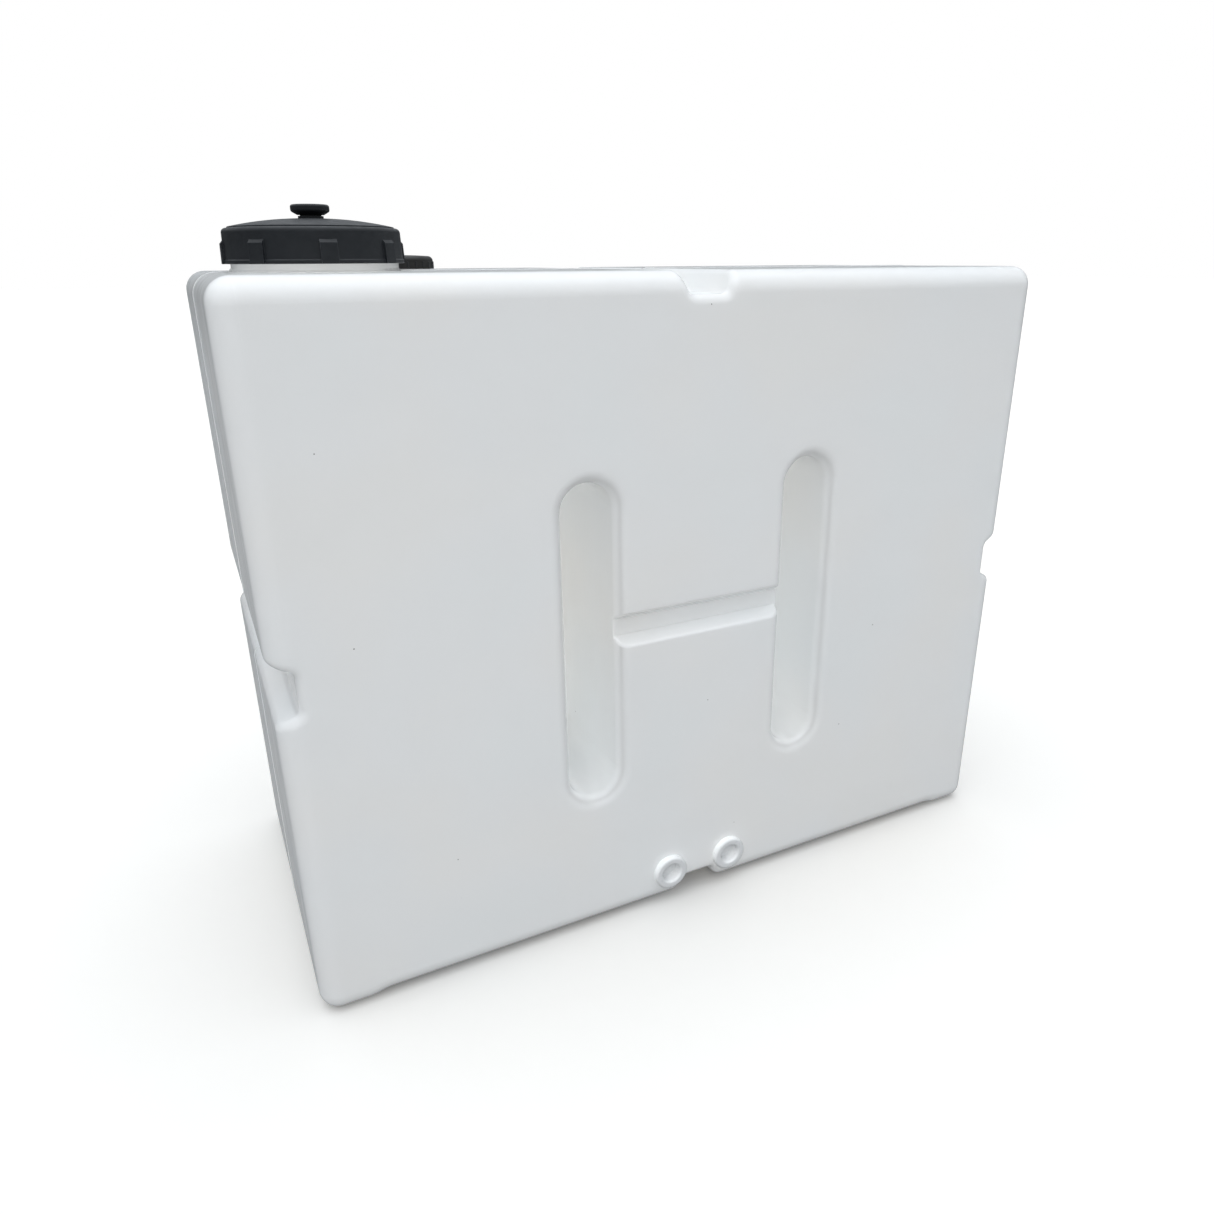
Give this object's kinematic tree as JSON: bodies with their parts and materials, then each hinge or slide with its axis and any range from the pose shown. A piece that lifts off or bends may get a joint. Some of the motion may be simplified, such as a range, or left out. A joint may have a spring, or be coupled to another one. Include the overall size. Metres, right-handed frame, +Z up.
{
  "type": "fresh water tank",
  "caption": "Upright moulded plastic fresh water tank with strap grooves, tall stiffening pockets, a vented screw lid, a small filler port and threaded outlets.",
  "frame": {"origin": "on the floor under the middle of the tank", "axes": "+Z up, +X along the tank's length away from the lid, -Y out of the face with the outlets"},
  "size_m": [1.16, 0.549, 1.019],
  "materials": {
    "natural_polyethylene": "satin moulded",
    "white_polyethylene": "satin moulded",
    "black_polypropylene": "satin moulded",
    "dark_polypropylene": "satin moulded",
    "seal_rubber": "matt",
    "screen_steel": "perforated"
  },
  "bodies": {
    "tank": {"tank_body": "natural_polyethylene", "outlet_insert_left": "white_polyethylene", "outlet_insert_right": "white_polyethylene"},
    "lid_gasket": {"lid_gasket": "seal_rubber"},
    "lid": {"lid": "black_polypropylene", "vent_body": "black_polypropylene", "vent_washer": "seal_rubber", "vent_nut": "black_polypropylene", "vent_screen": "screen_steel"},
    "vent_seal": {"vent_seal": "seal_rubber"},
    "vent_knob": {"vent_knob": "black_polypropylene"},
    "port_seal": {"port_seal": "seal_rubber"},
    "port_cap": {"port_cap": "dark_polypropylene"}
  },
  "joints": [
    {"name": "lid_lift", "type": "slide", "parent": "tank", "child": "lid_gasket", "axis": [0, 0, 1], "range_m": [0, 0.03]},
    {"name": "lid_turn", "type": "hinge", "parent": "lid_gasket", "child": "lid", "pos_m": [-0.43, 0, 0.98], "axis": [0, 0, 1], "range_deg": [0, 1080]},
    {"name": "vent_lift", "type": "slide", "parent": "lid", "child": "vent_seal", "axis": [0, 0, 1], "range_m": [0, 0.004]},
    {"name": "vent_turn", "type": "hinge", "parent": "vent_seal", "child": "vent_knob", "pos_m": [-0.43, 0, 1.01], "axis": [0, 0, 1], "range_deg": [0, 720]},
    {"name": "port_lift", "type": "slide", "parent": "tank", "child": "port_seal", "axis": [0, 0, 1], "range_m": [0, 0.015]},
    {"name": "port_turn", "type": "hinge", "parent": "port_seal", "child": "port_cap", "pos_m": [-0.288, 0.15, 0.955], "axis": [0, 0, 1], "range_deg": [0, 900]}
  ],
  "couplings": [
    {"joint": "lid_lift", "follows": "lid_turn", "m_per_rad": 0.0015915},
    {"joint": "vent_lift", "follows": "vent_turn", "m_per_rad": 0.0003183},
    {"joint": "port_lift", "follows": "port_turn", "m_per_rad": 0.00095493}
  ]
}
